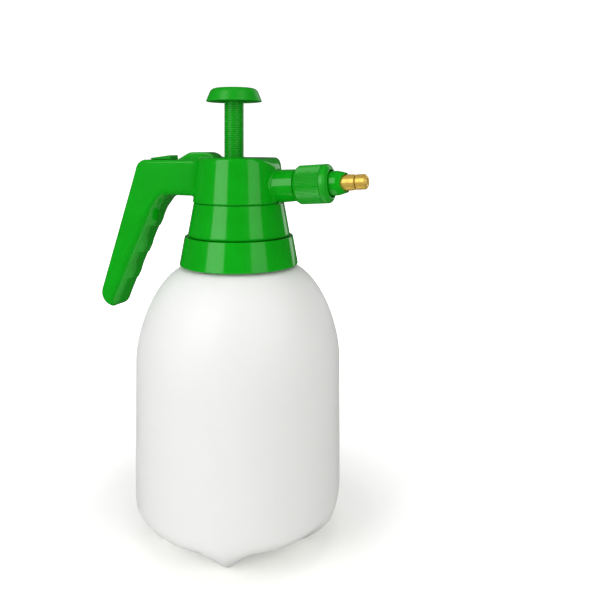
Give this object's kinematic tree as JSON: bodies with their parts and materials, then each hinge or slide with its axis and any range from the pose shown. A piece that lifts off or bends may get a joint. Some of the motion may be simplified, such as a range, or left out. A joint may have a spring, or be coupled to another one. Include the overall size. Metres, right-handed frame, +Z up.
{
  "type": "pump sprayer",
  "caption": "Hand pump pressure sprayer: round translucent bottle, screw-on pump head with a push plunger, carrying handle, thumb lever and adjustable brass nozzle.",
  "frame": {"origin": "on the floor under the middle of the whole sprayer; the axis of the bottle stands 8.59 mm in front of it", "axes": "+Z up, along the axis of the bottle, +X the way the spout points, the handle reaches back along -X"},
  "size_m": [0.2012, 0.138, 0.3008],
  "materials": {
    "bottle_plastic": "translucent natural polyethylene, satin",
    "green_plastic": "bright green polypropylene, semi-gloss",
    "natural_plastic": "uncoloured plastic, satin",
    "clear_hose": "soft clear hose",
    "rubber": "matte black",
    "steel": "bright drawn wire",
    "brass": "turned and polished"
  },
  "bodies": {
    "bottle": {"bottle": "bottle_plastic"},
    "head": {"head_base": "green_plastic", "head_housing": "green_plastic", "neck_gasket": "rubber", "pump_cylinder": "natural_plastic", "cylinder_cap": "natural_plastic", "check_valve": "rubber", "rod_guide": "green_plastic", "trigger_pin": "steel", "valve_body": "natural_plastic", "pin_seal": "rubber", "valve_spring": "steel", "dip_tube": "natural_plastic", "strainer": "natural_plastic", "outlet_hose": "clear_hose"},
    "lock_ring": {"lock_ring": "green_plastic"},
    "plunger": {"plunger_knob": "green_plastic", "pump_rod": "green_plastic", "piston": "natural_plastic", "piston_seal": "rubber"},
    "trigger": {"trigger_lever": "green_plastic"},
    "lock_slide": {"lock_slide": "green_plastic"},
    "valve_pin": {"valve_pin": "natural_plastic", "valve_washer": "rubber"},
    "nozzle": {"nozzle_barrel": "green_plastic", "nozzle_washer": "rubber", "nozzle_stem": "brass", "spray_core": "natural_plastic"},
    "nozzle_nut": {"nozzle_nut": "green_plastic"},
    "tip_seal": {"tip_seal": "rubber"},
    "nozzle_tip": {"nozzle_tip": "brass"}
  },
  "joints": [
    {"name": "head_lift", "type": "slide", "parent": "bottle", "child": "head", "axis": [0, 0, 1], "range_m": [0, 0.009]},
    {"name": "ring_turn", "type": "hinge", "parent": "head", "child": "lock_ring", "pos_m": [0.00859, 0, 0.198], "axis": [0, 0, 1], "range_deg": [0, 810.1]},
    {"name": "pump_stroke", "type": "slide", "parent": "head", "child": "plunger", "axis": [0, 0, -1], "range_m": [0, 0.034]},
    {"name": "trigger_press", "type": "hinge", "parent": "head", "child": "trigger", "pos_m": [-0.00741, 0, 0.2455], "axis": [0, -1, 0], "range_deg": [0, 8]},
    {"name": "valve_open", "type": "slide", "parent": "head", "child": "valve_pin", "axis": [0, 0, -1], "range_m": [0, 0.00087], "deforming": ["valve_spring"]},
    {"name": "lock_push", "type": "slide", "parent": "head", "child": "lock_slide", "axis": [1, 0, 0], "range_m": [0, 0.0028]},
    {"name": "nozzle_travel", "type": "slide", "parent": "head", "child": "nozzle", "axis": [0.9976, 0, 0.0698], "range_m": [0, 0.005]},
    {"name": "nut_turn", "type": "hinge", "parent": "nozzle", "child": "nozzle_nut", "pos_m": [0.06346, 0, 0.23544], "axis": [0.9976, 0, 0.0698], "range_deg": [0, 720.1]},
    {"name": "tip_travel", "type": "slide", "parent": "nozzle", "child": "tip_seal", "axis": [0.9976, 0, 0.0698], "range_m": [0, 0.0015]},
    {"name": "tip_turn", "type": "hinge", "parent": "tip_seal", "child": "nozzle_tip", "pos_m": [0.09638, 0, 0.23774], "axis": [0.9976, 0, 0.0698], "range_deg": [0, 540.1]}
  ],
  "couplings": [
    {"joint": "ring_turn", "follows": "head_lift", "rad_per_m": 1570.8},
    {"joint": "valve_open", "follows": "trigger_press", "m_per_rad": 0.0061},
    {"joint": "nut_turn", "follows": "nozzle_travel", "rad_per_m": 2513.3},
    {"joint": "tip_turn", "follows": "tip_travel", "rad_per_m": 6283.2}
  ]
}
